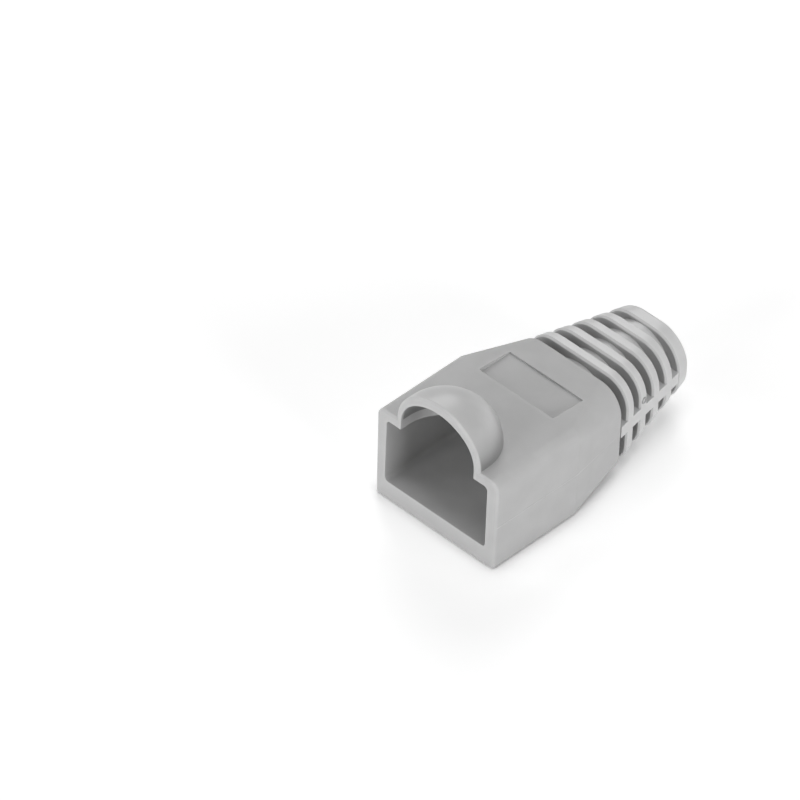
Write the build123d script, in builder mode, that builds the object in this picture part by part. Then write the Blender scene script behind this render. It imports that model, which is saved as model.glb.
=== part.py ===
"""Strain relief boot for an RJ45 patch lead: one soft PVC moulding, in millimetres.

+Y runs along the cable, from the open mouth to the cable end, and +Z is up. The boot lies on
its flat underside, with the origin on the floor below the middle of its length and width.
"""

import os
from math import atan2, degrees

from build123d import *

# The plug that goes into the mouth, and the cable that leaves at the back
plug_width = 11.68
plug_height = 6.6
plug_clearance = 0.05
cable_bore_radius = 2.75
cable_axis_height = 4.72

# Housing: a straight box at the mouth, then a taper down to the ribbed sleeve
box_length = 9.95
box_top_width = 14.2
box_bottom_width = 13.9
box_upper_corner = 1.0
box_lower_corner = 0.45
taper_length = 6.55
taper_end_width = 11.85
taper_end_height = 8.86
taper_end_upper_corner = 2.6
taper_end_lower_corner = 1.9

# Plug cavity, and the funnel that leads from it to the cable bore
cavity_depth = 9.0
cavity_floor = 2.0
cavity_roof_wall = 0.92
cavity_corner = 0.4
funnel_start_width = 10.4
funnel_start_height = 6.0
funnel_to_first_slot = 0.5

# Latch hood on the top face, hollow and open towards the mouth
hood_radius = 4.88
hood_height = 4.42
hood_setback = 0.97
hood_side_wall = 0.62
hood_top_wall = 0.9

# Label recess in the sloping top face, with a level floor
label_width = 8.6
label_length = 3.73
label_start = 9.52
label_depth = 0.42

# Ribbed sleeve: equal slots, cut from above and below down to a slim tube
slot_count = 5
slot_width = 0.84
rib_thickness = 1.11
spine_thickness = 1.2
end_ring_length = 1.54
cable_end_width = 8.35
cable_end_height = 6.95
cable_end_side_flat = 0.45
end_lip_radius = 0.4

# The tube's depth at its first slot below the top of the taper end, and at its last slot below
# the top of the cable end
tube_first_depth = 0.78
tube_last_depth = 0.145

# Bevels that take the sharpness off the moulding's edges
mouth_bevel = 0.2
rib_bevel = 0.18

# Sizes and places that follow from those above
cavity_width = plug_width + 2 * plug_clearance
cavity_height = plug_height + 2 * plug_clearance
cavity_roof = cavity_floor + cavity_height
box_height = cavity_roof + cavity_roof_wall
label_floor_height = box_height - label_depth
slot_pitch = slot_width + rib_thickness
slotted_length = slot_count * slot_pitch - rib_thickness
sleeve_length = slotted_length + end_ring_length
overall_length = box_length + taper_length + sleeve_length
mouth_y = -overall_length / 2
kink_y = mouth_y + box_length
taper_end_y = kink_y + taper_length
cable_end_y = taper_end_y + sleeve_length
cable_end_corner = (cable_end_height - cable_end_side_flat) / 2
tube_first_radius = taper_end_height / 2 - tube_first_depth
tube_last_radius = cable_end_height / 2 - tube_last_depth
hood_y = mouth_y + hood_setback
cavity_end_y = mouth_y + cavity_depth
funnel_end_y = taper_end_y - funnel_to_first_slot

# Where the two arcs of the hood's round meet, on a 3-4-5 triangle
arcs_meet = degrees(atan2(4, 3))

# How far a face may lie from a place and still be found there
tolerance = 0.01


def across(y):
    """The upright plane square to the cable, at y along it."""
    return Plane.XZ.offset(-y)


def outline(y, bottom, height, bottom_width, top_width, lower_corner, upper_corner):
    """The outline at y, from its bottom up: straight sides, level top, rounded corners."""
    with BuildSketch(across(y)) as section:
        with BuildLine():
            Polyline(
                (-bottom_width / 2, bottom),
                (bottom_width / 2, bottom),
                (top_width / 2, bottom + height),
                (-top_width / 2, bottom + height),
                close=True,
            )
        make_face()
        fillet(section.vertices().group_by(Axis.Y)[-1], radius=upper_corner)
        fillet(section.vertices().group_by(Axis.Y)[0], radius=lower_corner)
    return section.sketch


def box_outline(y):
    """The straight housing's outline, standing on the floor."""
    return outline(
        y, 0, box_height, box_bottom_width, box_top_width, box_lower_corner, box_upper_corner
    )


def cable_outline(y, width, height, lower_corner, upper_corner):
    """An outline at y that is centred on the cable."""
    bottom = cable_axis_height - height / 2
    return outline(y, bottom, height, width, width, lower_corner, upper_corner)


def hood_profile(radius, foot, height):
    """Half of the hood's arch: upright from its foot to the top face, then a flattened round.

    The round is two arcs that run smoothly into each other. Their centres and the middle of the
    top face are the corners of a 3-4-5 triangle, 1.5 and 2 times the flattening along its legs.
    """
    flattening = radius - height
    shoulder_radius = height - flattening / 2
    crown_radius = height + 2 * flattening
    with BuildSketch(across(hood_y)) as profile:
        with BuildLine():
            Polyline((0, box_height + height), (0, foot), (radius, foot), (radius, box_height))
            CenterArc((1.5 * flattening, box_height), shoulder_radius, 0, arcs_meet)
            CenterArc((0, box_height - 2 * flattening), crown_radius, arcs_meet, 90 - arcs_meet)
        make_face()
    return profile.sketch


def both_halves(profile):
    """The whole arch, from one half of it."""
    return [profile.face(), mirror(profile, about=Plane.YZ, mode=Mode.PRIVATE).face()]


with BuildPart() as boot:
    # The housing, and the sleeve's outer form before the slots are cut
    extrude(box_outline(mouth_y), amount=-box_length)
    taper_end = cable_outline(
        taper_end_y, taper_end_width, taper_end_height, taper_end_lower_corner, taper_end_upper_corner
    )
    cable_end = cable_outline(
        cable_end_y, cable_end_width, cable_end_height, cable_end_corner, cable_end_corner
    )
    loft([box_outline(kink_y), taper_end, cable_end], ruled=True)
    fillet(boot.faces().sort_by(Axis.Y)[-1].edges(), radius=end_lip_radius)

    # The hood: a dome behind its axis, and a straight arch from there to the mouth
    hood_axis = Axis((0, hood_y, 0), (0, 0, 1))
    outer = hood_profile(hood_radius, cavity_roof, hood_height)
    revolve(outer, axis=hood_axis)
    split(bisect_by=across(mouth_y), keep=Keep.BOTTOM)
    extrude(both_halves(outer), amount=hood_setback)
    chamfer(boot.faces().sort_by(Axis.Y)[0].edges(), length=mouth_bevel)

    # The label recess
    with BuildSketch(Plane.XY.offset(label_floor_height)):
        with Locations((0, mouth_y + label_start + label_length / 2)):
            Rectangle(label_width, label_length)
    extrude(amount=label_depth, mode=Mode.SUBTRACT)

    # The hollow under the hood, open to the mouth and to the plug cavity below
    hollow = hood_profile(hood_radius - hood_side_wall, cavity_floor, hood_height - hood_top_wall)
    revolve(hollow, axis=hood_axis, mode=Mode.SUBTRACT)
    extrude(both_halves(hollow), amount=hood_setback, mode=Mode.SUBTRACT)

    # The plug cavity, the funnel behind it and the cable bore
    with BuildSketch(across(mouth_y)):
        with Locations((0, (cavity_floor + cavity_roof) / 2)):
            RectangleRounded(cavity_width, cavity_height, cavity_corner)
    extrude(amount=-cavity_depth, mode=Mode.SUBTRACT)
    with BuildSketch(across(cavity_end_y)):
        with Locations((0, cavity_floor + funnel_start_height / 2)):
            Rectangle(funnel_start_width, funnel_start_height)
    with BuildSketch(across(funnel_end_y)):
        with Locations((0, cable_axis_height)):
            Rectangle(2 * cable_bore_radius, 2 * cable_bore_radius)
    loft(ruled=True, mode=Mode.SUBTRACT)
    with BuildSketch(across(cable_end_y)):
        with Locations((0, cable_axis_height)):
            Circle(cable_bore_radius)
    extrude(amount=cable_end_y - funnel_end_y, mode=Mode.SUBTRACT)

    # The slots of the sleeve, cut all round down to the tube, and the bevels of the ribs
    unslotted = boot.part
    for slot in range(slot_count):
        slot_start = taper_end_y + slot * slot_pitch
        share = slot / (slot_count - 1)
        tube_radius = tube_first_radius + share * (tube_last_radius - tube_first_radius)
        with BuildSketch(across(slot_start)):
            with Locations((0, cable_axis_height)):
                Rectangle(2 * taper_end_width, 2 * taper_end_height)
                Circle(tube_radius, mode=Mode.SUBTRACT)
        extrude(amount=-slot_width, mode=Mode.SUBTRACT)
        walls = boot.faces().filter_by(Axis.Y).filter_by_position(
            Axis.Y, slot_start - tolerance, slot_start + slot_width + tolerance
        )
        chamfer([wall.outer_wire().edges() for wall in walls], length=rib_bevel)

    # The spines: the band along both sides that the slots leave standing, flush with the ribs
    with BuildPart(mode=Mode.PRIVATE) as spines:
        add(unslotted)
        with BuildSketch(across(taper_end_y)):
            with Locations((0, cable_axis_height)):
                Rectangle(taper_end_width, spine_thickness)
        extrude(amount=-slotted_length, mode=Mode.INTERSECT)
    add(spines.part)

boot.part.label = "boot"
os.makedirs("parts", exist_ok=True)
export_step(boot.part, "parts/boot.step")
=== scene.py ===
"""Looks for a moulded cable boot: its PVC finish, its gate marks and a plain white studio."""

import math

import bmesh
import bpy
from bpy.props import FloatProperty, FloatVectorProperty, PointerProperty
from mathutils import Matrix, Vector


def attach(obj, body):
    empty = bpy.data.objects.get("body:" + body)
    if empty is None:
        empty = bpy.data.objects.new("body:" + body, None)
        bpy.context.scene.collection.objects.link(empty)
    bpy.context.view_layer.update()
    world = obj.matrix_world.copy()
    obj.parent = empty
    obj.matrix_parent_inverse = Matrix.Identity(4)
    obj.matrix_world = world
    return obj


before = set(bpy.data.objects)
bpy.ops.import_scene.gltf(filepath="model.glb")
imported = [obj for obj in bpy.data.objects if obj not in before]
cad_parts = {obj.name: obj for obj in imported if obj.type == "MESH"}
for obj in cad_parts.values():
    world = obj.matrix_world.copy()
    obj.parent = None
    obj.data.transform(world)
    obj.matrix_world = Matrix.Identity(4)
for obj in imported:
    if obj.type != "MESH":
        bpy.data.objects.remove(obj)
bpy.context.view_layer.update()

bl_info = {
    "name": "Strain Relief Boot Looks",
    "version": (1, 0, 0),
    "blender": (4, 5, 0),
    "location": "View3D > Sidebar > Boot",
    "description": "PVC finish, gate marks and studio for a cable boot",
    "category": "Object",
}

MM = 0.001
BOOT_NODE = "boot"
BODY = "root"

# Places on the boot, in millimetres along the cable or above the floor
MOUTH = -13.34
SLEEVE_START = 3.16
PARTING_HEIGHT = 4.72
TOP_FACE = 9.62

# How wide the change from one finish to the other is, in millimetres
FINISH_BLEND = 0.1

# How far the painted shade at the hood's foot reaches up, and where it starts and is full behind
# the mouth
FOOT_HEIGHT = 3.2
FOOT_START = 0.15
FOOT_FULL = 0.35

# The middle of a noise texture's range, where nearly all of its values lie
NOISE_LOW = 0.3
NOISE_HIGH = 0.7

# Where a speck starts to fade and where it ends, as shares of a cell of the speck texture
SPECK_FADE = (0.03, 0.055)

# Where the parting line starts to fade and where it ends, as shares of its half width
LINE_FADE = (0.2, 1.0)

# Where it sets in, by how far a face is turned to the side and how far out it is, in millimetres
SIDE_FACING = (0.9, 0.95)
SIDE_DISTANCE = (6.0, 6.3)

# How many samples the shader nodes take that look round a point
OPENNESS_SAMPLES = 12
BEVEL_SAMPLES = 8

# The middle of the right gate mark, and how far the sleeve's side turns from +X there
GATE_PLACE = (5.352 * MM, 6.5 * MM, 6.0 * MM)
GATE_TURN = math.radians(9.76)
QUARTER_TURN = math.radians(90)

# The ring's mesh: sides of its round section, steps round it, and how near points are merged
BEAD_SIDES = 10
RING_STEPS = 32
MERGE_DISTANCE = 0.0005 * MM

# How far from the boot the floor's own white starts to rise, and where it is full
FLOOR_NEAR = 0.05
FLOOR_FAR = 0.4

# How near the boot the floor's white fades into a painted contact shadow, the dark line where the
# two touch
PAINTED_CONTACT_REACH = 1.2 * MM

# Each softbox: its name, its place in metres and its power in watts
SOFTBOXES = (
    ("low right softbox", (0.685, 0.0, 0.146), 2.85),
    ("low front left softbox", (-0.484, -0.484, 0.146), 1.15),
    ("low front softbox", (0.0, -0.685, 0.146), 2.5),
    ("low back softbox", (0.12, 0.675, 0.146), 0.4),
    ("far left softbox", (-0.39, 0.39, 0.431), 1.6),
    ("overhead softbox", (0.0, 0.0, 0.7), 1.55),
)

# Where the camera stands, in metres, and how it is turned, in degrees
CAMERA_PLACE = (0.415404, -0.464100, 0.556204)
CAMERA_TURN = (48.5159, -1.6389, 44.4168)
SENSOR_WIDTH = 36.0

WHITE = (1.0, 1.0, 1.0, 1.0)


class BootFinishSettings(bpy.types.PropertyGroup):
    """The colour and surface of the moulded PVC."""

    housing_colour: FloatVectorProperty(
        name="Housing colour",
        description="Colour of the housing and hood",
        subtype="COLOR",
        size=3,
        min=0.0,
        max=1.0,
        default=(0.5, 0.5, 0.5),
    )
    # Painted sheen: the sleeve's colour is paler than the housing's, standing in for the brighter
    # sheen that it catches
    sleeve_lit_colour: FloatVectorProperty(
        name="Sleeve lit colour",
        description="Colour of the smoother ribbed sleeve",
        subtype="COLOR",
        size=3,
        min=0.0,
        max=1.0,
        default=(0.62, 0.62, 0.62),
    )
    colour_drift: FloatProperty(
        name="Colour drift",
        description="How far the colour drifts up and down in slow patches",
        default=0.035,
        min=0.0,
        max=1.0,
    )
    speck_lift: FloatProperty(
        name="Speck lift",
        description="How much paler the sparse specks are",
        default=0.1,
        min=0.0,
        max=2.0,
    )
    # Painted highlight: thin outer edges are made paler in their colour, as if they catch light on
    # their rounding
    painted_edge_highlight: FloatProperty(
        name="Painted edge highlight",
        description="How much paler the thin outer edges are",
        default=0.15,
        min=0.0,
        max=2.0,
    )
    # Painted shade: hollows and slots are made darker in their colour by how closed in they are
    painted_recess_shade: FloatProperty(
        name="Painted recess shade",
        description="How much darker the deep hollows and slots are",
        default=0.14,
        min=0.0,
        max=2.0,
    )
    # Painted shade: the hood is made darker in its colour at its foot, where it rises from the top
    # face
    painted_foot_shade: FloatProperty(
        name="Hood foot painted shade",
        description="How much darker the hood is at its foot, behind the mouth's rim",
        default=0.52,
        min=0.0,
        max=1.0,
    )
    housing_roughness: FloatProperty(
        name="Housing roughness",
        description="Mean roughness of the matte housing",
        default=0.68,
        min=0.0,
        max=1.0,
    )
    polished_roughness: FloatProperty(
        name="Polished roughness",
        description="Mean roughness of the smoother sleeve and hood",
        default=0.37,
        min=0.0,
        max=1.0,
    )
    roughness_drift: FloatProperty(
        name="Roughness drift",
        description="How far the roughness drifts up and down in slow patches",
        default=0.02,
        min=0.0,
        max=1.0,
    )
    edge_radius: FloatProperty(
        name="Edge radius",
        description="How far the moulded edges look rounded",
        default=0.1 * MM,
        min=0.0,
        soft_max=1.0 * MM,
        precision=5,
        subtype="DISTANCE",
        unit="LENGTH",
    )
    grain_depth: FloatProperty(
        name="Grain depth",
        description="Depth of the fine moulded grain",
        default=0.005 * MM,
        min=0.0,
        precision=6,
        subtype="DISTANCE",
        unit="LENGTH",
    )
    polished_grain: FloatProperty(
        name="Polished grain",
        description="Share of the grain's depth that the smoother sleeve and hood have",
        default=0.2,
        min=0.0,
        max=1.0,
    )
    parting_height: FloatProperty(
        name="Parting line height",
        description="How far the mould's parting line stands proud of the sides",
        default=0.03 * MM,
        min=0.0,
        precision=6,
        subtype="DISTANCE",
        unit="LENGTH",
    )
    # Painted highlight: the raised parting line is also made paler in its colour
    painted_parting_highlight: FloatProperty(
        name="Parting line painted highlight",
        description="How much paler the mould's parting line is",
        default=0.4,
        min=0.0,
        max=2.0,
    )


class GateMarkSettings(bpy.types.PropertyGroup):
    """The small round marks that the mould's gates leave on the second rib."""

    ring_radius: FloatProperty(
        name="Ring radius",
        description="Radius of the middle of the raised ring",
        default=0.26 * MM,
        min=0.0,
        precision=5,
        subtype="DISTANCE",
        unit="LENGTH",
    )
    bead_radius: FloatProperty(
        name="Bead radius",
        description="Radius of the ring's own round section",
        default=0.085 * MM,
        min=0.0,
        precision=5,
        subtype="DISTANCE",
        unit="LENGTH",
    )
    # Painted shade: the ring is made darker, standing in for the shadow in the gap round it
    painted_shade_factor: FloatProperty(
        name="Tint",
        description="Brightness of the sheared ring beside the sleeve's",
        default=0.5,
        min=0.0,
        max=2.0,
    )


class StudioSettings(bpy.types.PropertyGroup):
    """The floor, the soft lamps and the camera."""

    floor_size: FloatProperty(
        name="Floor size",
        description="Length of the floor's sides",
        default=6.0,
        min=0.1,
        subtype="DISTANCE",
        unit="LENGTH",
    )
    floor_colour: FloatVectorProperty(
        name="Floor colour",
        description="Colour of the pale floor",
        subtype="COLOR",
        size=3,
        min=0.0,
        max=1.0,
        default=(0.9, 0.9, 0.9),
    )
    floor_roughness: FloatProperty(
        name="Floor roughness",
        description="Roughness of the pale floor",
        default=0.9,
        min=0.0,
        max=1.0,
    )
    floor_glow: FloatProperty(
        name="Floor whiteness",
        description="White that the floor adds round the boot, so that only the shadow shows",
        default=0.37,
        min=0.0,
    )
    lamp_size: FloatProperty(
        name="Lamp size",
        description="Length of the sides of each soft lamp",
        default=0.35,
        min=0.01,
        subtype="DISTANCE",
        unit="LENGTH",
    )
    lens: FloatProperty(
        name="Lens",
        description="Focal length for a 36 mm frame",
        default=440.954,
        min=1.0,
        subtype="DISTANCE_CAMERA",
    )


def new_material(name):
    """An empty material, with its nodes and its links."""
    material = bpy.data.materials.new(name)
    material.use_nodes = True
    material.node_tree.nodes.clear()
    return material, material.node_tree.nodes, material.node_tree.links


def new_group(name, inputs, outputs):
    """An empty node group: its nodes, its links, its input node and its output node."""
    group = bpy.data.node_groups.new(name, "ShaderNodeTree")
    for label, kind, value in inputs:
        socket = group.interface.new_socket(label, in_out="INPUT", socket_type=kind)
        if value is not None:
            socket.default_value = value
    for label in outputs:
        group.interface.new_socket(label, in_out="OUTPUT", socket_type="NodeSocketFloat")
    nodes = group.nodes
    return group, nodes, group.links, nodes.new("NodeGroupInput"), nodes.new("NodeGroupOutput")


def shared(nodes, name, build):
    """A node for a shared group, which is built the first time that it is asked for."""
    node = nodes.new("ShaderNodeGroup")
    node.node_tree = bpy.data.node_groups.get(name) or build(name)
    return node


def maths(nodes, links, operation, first, second=None, third=None):
    """A Math node on sockets or numbers, and its result."""
    node = nodes.new("ShaderNodeMath")
    node.operation = operation
    for index, value in enumerate((first, second, third)):
        if value is None:
            continue
        if isinstance(value, (int, float)):
            node.inputs[index].default_value = value
        else:
            links.new(value, node.inputs[index])
    return node.outputs["Value"]


def product(nodes, links, first, *factors):
    """Several sockets multiplied together."""
    for factor in factors:
        first = maths(nodes, links, "MULTIPLY", first, factor)
    return first


def lift(nodes, links, mask, share):
    """A factor that is 1 where a mask is 0, and more or less by a share where it is 1."""
    return maths(nodes, links, "MULTIPLY_ADD", mask, share, 1.0)


def ramp(nodes, links, value, low, high, to_low=0.0, to_high=1.0, smooth=True):
    """A value carried from one range to another, and held at its ends."""
    node = nodes.new("ShaderNodeMapRange")
    if smooth:
        node.interpolation_type = "SMOOTHSTEP"
    node.inputs["From Min"].default_value = low
    node.inputs["From Max"].default_value = high
    node.inputs["To Min"].default_value = to_low
    node.inputs["To Max"].default_value = to_high
    links.new(value, node.inputs["Value"])
    return node.outputs["Result"]


def drift(nodes, links, mottle, middle, reach):
    """A value that drifts up and down by a reach from its middle, with the mottle."""
    low, high = middle - reach, middle + reach
    return ramp(nodes, links, mottle, NOISE_LOW, NOISE_HIGH, low, high, smooth=False)


def xyz(nodes, links, vector):
    """The three parts of a vector."""
    parts = nodes.new("ShaderNodeSeparateXYZ")
    links.new(vector, parts.inputs["Vector"])
    return parts.outputs


def moulded_grain(name):
    """Fine grain, slow mottle and sparse pale specks, all from a position in millimetres."""
    group, nodes, links, given, out = new_group(
        name,
        (
            ("Position", "NodeSocketVector", None),
            ("Grain scale", "NodeSocketFloat", 9.0),
            ("Mottle scale", "NodeSocketFloat", 0.45),
            ("Speck scale", "NodeSocketFloat", 1.1),
        ),
        ("Grain", "Mottle", "Specks"),
    )
    grain = nodes.new("ShaderNodeTexNoise")
    grain.inputs["Detail"].default_value = 3.0
    grain.inputs["Roughness"].default_value = 0.55
    mottle = nodes.new("ShaderNodeTexNoise")
    mottle.inputs["Detail"].default_value = 3.0
    specks = nodes.new("ShaderNodeTexVoronoi")
    for texture, scale in (
        (grain, "Grain scale"),
        (mottle, "Mottle scale"),
        (specks, "Speck scale"),
    ):
        links.new(given.outputs["Position"], texture.inputs["Vector"])
        links.new(given.outputs[scale], texture.inputs["Scale"])
    dots = ramp(nodes, links, specks.outputs["Distance"], *SPECK_FADE, 1.0, 0.0)
    links.new(grain.outputs["Fac"], out.inputs["Grain"])
    links.new(mottle.outputs["Fac"], out.inputs["Mottle"])
    links.new(dots, out.inputs["Specks"])
    return group


def form_masks(name):
    """How openly a place lies, and where the form is a thin outer edge; the material paints shade
    into closed places and a highlight onto edges.
    """
    group, nodes, links, given, out = new_group(
        name,
        (
            ("Hollow reach", "NodeSocketFloat", 2.0 * MM),
            ("Edge reach", "NodeSocketFloat", 0.45 * MM),
        ),
        ("Open", "Edge"),
    )
    outside = nodes.new("ShaderNodeAmbientOcclusion")
    outside.samples = OPENNESS_SAMPLES
    links.new(given.outputs["Hollow reach"], outside.inputs["Distance"])
    links.new(outside.outputs["AO"], out.inputs["Open"])
    inside = nodes.new("ShaderNodeAmbientOcclusion")
    inside.samples = OPENNESS_SAMPLES
    inside.inside = True
    links.new(given.outputs["Edge reach"], inside.inputs["Distance"])
    edge = maths(nodes, links, "SUBTRACT", 1.0, inside.outputs["AO"])
    links.new(edge, out.inputs["Edge"])
    return group


def parting_line(name):
    """A narrow line at one height, on upright sides only."""
    group, nodes, links, given, out = new_group(
        name,
        (
            ("Position", "NodeSocketVector", None),
            ("Normal", "NodeSocketVector", None),
            ("Height", "NodeSocketFloat", PARTING_HEIGHT),
            ("Half width", "NodeSocketFloat", 0.05),
        ),
        ("Line",),
    )
    place = xyz(nodes, links, given.outputs["Position"])
    facing = xyz(nodes, links, given.outputs["Normal"])
    away = maths(nodes, links, "SUBTRACT", place["Z"], given.outputs["Height"])
    away = maths(nodes, links, "ABSOLUTE", away)
    share = maths(nodes, links, "DIVIDE", away, given.outputs["Half width"])
    line = ramp(nodes, links, share, *LINE_FADE, 1.0, 0.0)
    sideways = ramp(nodes, links, maths(nodes, links, "ABSOLUTE", facing["X"]), *SIDE_FACING)
    far_out = ramp(nodes, links, maths(nodes, links, "ABSOLUTE", place["X"]), *SIDE_DISTANCE)
    links.new(product(nodes, links, line, sideways, far_out), out.inputs["Line"])
    return group


def pvc_material(settings, name="Grey soft PVC", painted_shade_factor=1.0):
    """Moulded PVC: a matte housing, a smoother sleeve and hood, painted shade in the hollows and
    at the hood's foot, painted highlights on edges and parting line, and painted sheen on the
    sleeve.
    """
    material, nodes, links = new_material(name)
    out = nodes.new("ShaderNodeOutputMaterial")
    pvc = nodes.new("ShaderNodeBsdfPrincipled")
    links.new(pvc.outputs["BSDF"], out.inputs["Surface"])
    place = nodes.new("ShaderNodeTexCoord")
    in_mm = nodes.new("ShaderNodeMapping")
    in_mm.inputs["Scale"].default_value = (1 / MM, 1 / MM, 1 / MM)
    links.new(place.outputs["Object"], in_mm.inputs["Vector"])
    grain = shared(nodes, "Moulded grain", moulded_grain)
    links.new(in_mm.outputs["Vector"], grain.inputs["Position"])
    form = shared(nodes, "Form masks", form_masks)
    parting = shared(nodes, "Parting line", parting_line)
    links.new(in_mm.outputs["Vector"], parting.inputs["Position"])
    links.new(place.outputs["Normal"], parting.inputs["Normal"])

    # The mould's polished parts: the sleeve past the taper's end, and the hood above the top face
    within = xyz(nodes, links, in_mm.outputs["Vector"])
    along, up = within["Y"], within["Z"]
    sleeve = ramp(nodes, links, along, SLEEVE_START - FINISH_BLEND, SLEEVE_START + FINISH_BLEND)
    hood = ramp(nodes, links, up, TOP_FACE, TOP_FACE + FINISH_BLEND)
    polished = maths(nodes, links, "MAXIMUM", sleeve, hood)

    # Painted shade at the hood's foot: darkest at the top face, gone by mid-height, and none on
    # the mouth's rim
    low_down = ramp(nodes, links, up, TOP_FACE, TOP_FACE + FOOT_HEIGHT, 1.0, 0.0)
    behind_rim = ramp(nodes, links, along, MOUTH + FOOT_START, MOUTH + FOOT_FULL)
    foot = product(nodes, links, low_down, hood, behind_rim)

    # Base colour: the housing's colour and the sleeve's paler one, which is painted sheen, a faint
    # mottle, painted highlights on the edges and parting line, and painted shade in the hollows
    # and at the hood's foot
    colour = nodes.new("ShaderNodeMix")
    colour.data_type = "RGBA"
    colour.inputs["A"].default_value = (*settings.housing_colour, 1.0)
    colour.inputs["B"].default_value = (*settings.sleeve_lit_colour, 1.0)
    links.new(sleeve, colour.inputs["Factor"])
    shade = product(
        nodes,
        links,
        drift(nodes, links, grain.outputs["Mottle"], painted_shade_factor, settings.colour_drift * painted_shade_factor),
        lift(nodes, links, form.outputs["Edge"], settings.painted_edge_highlight),
        lift(nodes, links, parting.outputs["Line"], settings.painted_parting_highlight),
        lift(nodes, links, grain.outputs["Specks"], settings.speck_lift),
        maths(nodes, links, "POWER", form.outputs["Open"], settings.painted_recess_shade),
        lift(nodes, links, foot, -settings.painted_foot_shade),
    )
    shaded = nodes.new("ShaderNodeVectorMath")
    shaded.operation = "SCALE"
    links.new(colour.outputs["Result"], shaded.inputs[0])
    links.new(shade, shaded.inputs["Scale"])
    links.new(shaded.outputs["Vector"], pvc.inputs["Base Color"])

    # Roughness: each finish's own, moved a little by the mottle
    finish = nodes.new("ShaderNodeMix")
    finish.inputs["A"].default_value = settings.housing_roughness
    finish.inputs["B"].default_value = settings.polished_roughness
    links.new(polished, finish.inputs["Factor"])
    patchy = drift(nodes, links, grain.outputs["Mottle"], 0.0, settings.roughness_drift)
    roughness = maths(nodes, links, "ADD", finish.outputs["Result"], patchy)
    links.new(roughness, pvc.inputs["Roughness"])

    # Relief: rounded edges, then the grain, finer on the polished parts, and the parting line
    rounded = nodes.new("ShaderNodeBevel")
    rounded.samples = BEVEL_SAMPLES
    rounded.inputs["Radius"].default_value = settings.edge_radius
    fine_depth = settings.polished_grain * settings.grain_depth
    depth = ramp(nodes, links, polished, 0.0, 1.0, settings.grain_depth, fine_depth)
    texture = product(nodes, links, grain.outputs["Grain"], depth)
    ridge = product(nodes, links, parting.outputs["Line"], settings.parting_height)
    bump = nodes.new("ShaderNodeBump")
    bump.inputs["Distance"].default_value = 1.0
    links.new(maths(nodes, links, "ADD", texture, ridge), bump.inputs["Height"])
    links.new(rounded.outputs["Normal"], bump.inputs["Normal"])
    links.new(bump.outputs["Normal"], pvc.inputs["Normal"])
    return material


def seen_directly(nodes, links):
    """One where the camera sees a surface itself, in a gloss or through something clear."""
    path = nodes.new("ShaderNodeLightPath")
    seen = maths(nodes, links, "ADD", path.outputs["Is Camera Ray"], path.outputs["Is Glossy Ray"])
    seen = maths(nodes, links, "ADD", seen, path.outputs["Is Transmission Ray"])
    return maths(nodes, links, "MINIMUM", seen, 1.0)


class BOOT_OT_finish(bpy.types.Operator):
    """Give the boot its moulded PVC finish"""

    bl_idname = "boot.finish"
    bl_label = "PVC finish"

    def execute(self, context):
        material = pvc_material(context.scene.boot_finish)
        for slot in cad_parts[BOOT_NODE].material_slots:
            slot.material = material
        return {"FINISHED"}


class BOOT_OT_gate_marks(bpy.types.Operator):
    """Add the ring-shaped gate mark on each side of the second rib"""

    bl_idname = "boot.gate_marks"
    bl_label = "Gate marks"

    def execute(self, context):
        settings = context.scene.boot_gates
        # The ring's PVC is darkened by the gate mark's factor, as painted shade for the gap round
        # it
        material = pvc_material(context.scene.boot_finish, "Gate mark PVC with painted shade", settings.painted_shade_factor)
        upright = Matrix.Rotation(QUARTER_TURN, 4, "Y")
        on_right = Matrix.Translation(GATE_PLACE) @ Matrix.Rotation(GATE_TURN, 4, "Z") @ upright
        on_left = Matrix.Scale(-1.0, 4, (1.0, 0.0, 0.0)) @ on_right
        for name, place in (("gate_mark_right", on_right), ("gate_mark_left", on_left)):
            ring = self.ring(settings)
            bmesh.ops.transform(ring, matrix=place, verts=ring.verts)
            bmesh.ops.recalc_face_normals(ring, faces=ring.faces)
            for face in ring.faces:
                face.smooth = True
            mesh = bpy.data.meshes.new(name)
            ring.to_mesh(mesh)
            ring.free()
            mesh.materials.append(material)
            piece = bpy.data.objects.new(name, mesh)
            context.collection.objects.link(piece)
            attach(piece, BODY)
        return {"FINISHED"}

    def ring(self, settings):
        """A closed ring round Z, half sunk in the surface that it stands on."""
        ring = bmesh.new()
        centre = (0, 0, 0)
        upright = Matrix.Rotation(QUARTER_TURN, 3, "X")
        bmesh.ops.create_circle(ring, segments=BEAD_SIDES, radius=settings.bead_radius)
        bmesh.ops.rotate(ring, cent=centre, matrix=upright, verts=ring.verts)
        bmesh.ops.translate(ring, vec=(settings.ring_radius, 0, 0), verts=ring.verts)
        bmesh.ops.spin(
            ring,
            geom=ring.edges[:],
            cent=centre,
            axis=(0, 0, 1),
            angle=math.tau,
            steps=RING_STEPS,
            use_merge=True,
        )
        bmesh.ops.remove_doubles(ring, verts=ring.verts, dist=MERGE_DISTANCE)
        return ring


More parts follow.
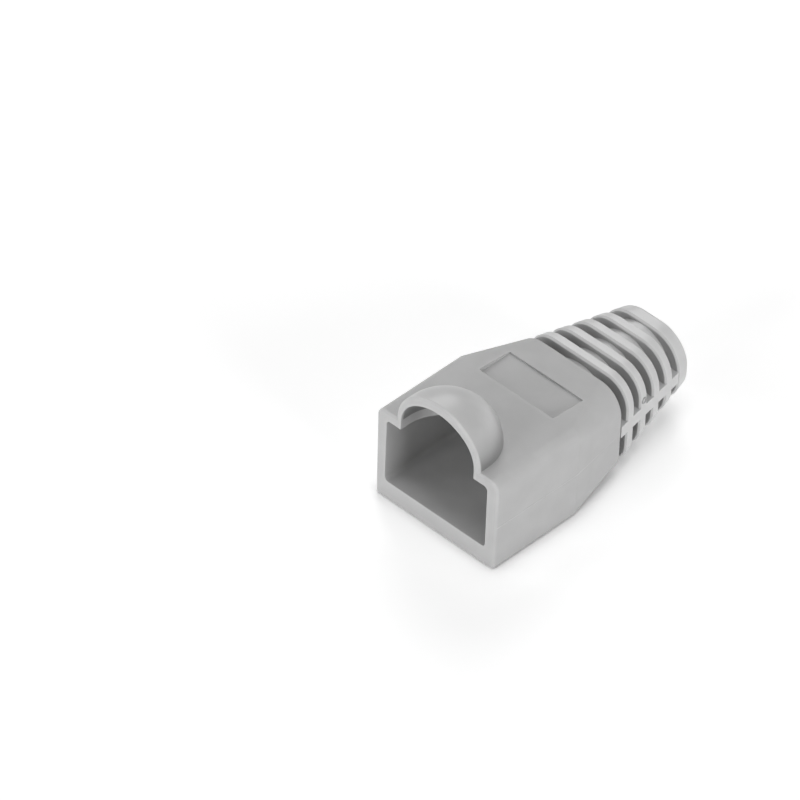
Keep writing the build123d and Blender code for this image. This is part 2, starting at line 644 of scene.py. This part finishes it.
class BOOT_OT_stage(bpy.types.Operator):
    """Build the floor, the lamps, the world and the camera"""

    bl_idname = "boot.stage"
    bl_label = "Studio"

    def execute(self, context):
        scene = context.scene
        settings = scene.boot_studio
        self.floor(scene, settings)
        self.world(scene)
        self.lamps(scene, settings)
        self.camera(scene, settings)
        scene.view_settings.view_transform = "Standard"
        return {"FINISHED"}

    def floor(self, scene, settings):
        """A large level sheet that looks white where it is seen, and keeps the shadow."""
        mesh = bpy.data.meshes.new("studio_floor")
        sheet = bmesh.new()
        bmesh.ops.create_grid(sheet, x_segments=1, y_segments=1, size=settings.floor_size / 2)
        sheet.to_mesh(mesh)
        sheet.free()
        mesh.materials.append(self.floor_material(settings))
        floor = bpy.data.objects.new("studio_floor", mesh)
        scene.collection.objects.link(floor)

    def floor_material(self, settings):
        """Pale paper, with a white of its own that grows away from the boot, and fades into a
        painted contact shadow right beside it.
        """
        material, nodes, links = new_material("White sweep")
        out = nodes.new("ShaderNodeOutputMaterial")
        paper = nodes.new("ShaderNodeBsdfPrincipled")
        paper.inputs["Base Color"].default_value = (*settings.floor_colour, 1.0)
        paper.inputs["Roughness"].default_value = settings.floor_roughness
        paper.inputs["Specular IOR Level"].default_value = 0.0
        paper.inputs["Emission Color"].default_value = WHITE
        place = nodes.new("ShaderNodeTexCoord")
        away = nodes.new("ShaderNodeVectorMath")
        away.operation = "LENGTH"
        links.new(place.outputs["Object"], away.inputs[0])
        # Painted contact shadow: the floor's own white is taken away where the boot lies within
        # reach
        painted_contact_shadow = nodes.new("ShaderNodeAmbientOcclusion")
        painted_contact_shadow.inputs["Distance"].default_value = PAINTED_CONTACT_REACH
        distance = away.outputs["Value"]
        rising = ramp(nodes, links, distance, FLOOR_NEAR, FLOOR_FAR, settings.floor_glow, 1.0)
        seen = seen_directly(nodes, links)
        glow = product(nodes, links, rising, painted_contact_shadow.outputs["AO"], seen)
        links.new(glow, paper.inputs["Emission Strength"])
        links.new(paper.outputs["BSDF"], out.inputs["Surface"])
        return material

    def world(self, scene):
        """Dark to the object, and plain white where the background itself is seen."""
        world = bpy.data.worlds.new("Studio")
        world.use_nodes = True
        scene.world = world
        nodes, links = world.node_tree.nodes, world.node_tree.links
        nodes.clear()
        out = nodes.new("ShaderNodeOutputWorld")
        backdrop = nodes.new("ShaderNodeBackground")
        backdrop.inputs["Color"].default_value = WHITE
        links.new(seen_directly(nodes, links), backdrop.inputs["Strength"])
        links.new(backdrop.outputs["Background"], out.inputs["Surface"])

    def lamps(self, scene, settings):
        """Large soft boxes around and above the boot, turned towards it."""
        for name, place, watts in SOFTBOXES:
            lamp = bpy.data.lights.new(name, "AREA")
            lamp.shape = "SQUARE"
            lamp.size = settings.lamp_size
            lamp.energy = watts
            holder = bpy.data.objects.new(name, lamp)
            holder.location = place
            holder.rotation_euler = (-Vector(place)).to_track_quat("-Z", "Y").to_euler()
            scene.collection.objects.link(holder)

    def camera(self, scene, settings):
        """The photograph's viewing angle, through a long lens."""
        data = bpy.data.cameras.new("camera")
        data.sensor_width = SENSOR_WIDTH
        data.lens = settings.lens
        data.clip_start = 0.01
        camera = bpy.data.objects.new("camera", data)
        camera.location = CAMERA_PLACE
        camera.rotation_euler = [math.radians(angle) for angle in CAMERA_TURN]
        scene.collection.objects.link(camera)
        scene.camera = camera


class BOOT_PT_panel(bpy.types.Panel):
    """The boot's pieces and settings"""

    bl_idname = "BOOT_PT_panel"
    bl_label = "Strain relief boot"
    bl_space_type = "VIEW_3D"
    bl_region_type = "UI"
    bl_category = "Boot"

    def draw(self, context):
        for operator, settings in (
            ("boot.finish", "boot_finish"),
            ("boot.gate_marks", "boot_gates"),
            ("boot.stage", "boot_studio"),
        ):
            box = self.layout.box()
            group = getattr(context.scene, settings)
            for name in group.bl_rna.properties.keys():
                if name not in ("rna_type", "name"):
                    box.prop(group, name)
            box.operator(operator)


CLASSES = (
    BootFinishSettings,
    GateMarkSettings,
    StudioSettings,
    BOOT_OT_finish,
    BOOT_OT_gate_marks,
    BOOT_OT_stage,
    BOOT_PT_panel,
)


def register():
    for cls in CLASSES:
        bpy.utils.register_class(cls)
    bpy.types.Scene.boot_finish = PointerProperty(type=BootFinishSettings)
    bpy.types.Scene.boot_gates = PointerProperty(type=GateMarkSettings)
    bpy.types.Scene.boot_studio = PointerProperty(type=StudioSettings)


def unregister():
    del bpy.types.Scene.boot_studio
    del bpy.types.Scene.boot_gates
    del bpy.types.Scene.boot_finish
    for cls in reversed(CLASSES):
        bpy.utils.unregister_class(cls)


def main():
    register()
    bpy.ops.boot.finish()
    bpy.ops.boot.gate_marks()
    bpy.ops.boot.stage()


if __name__ == "__main__":
    main()
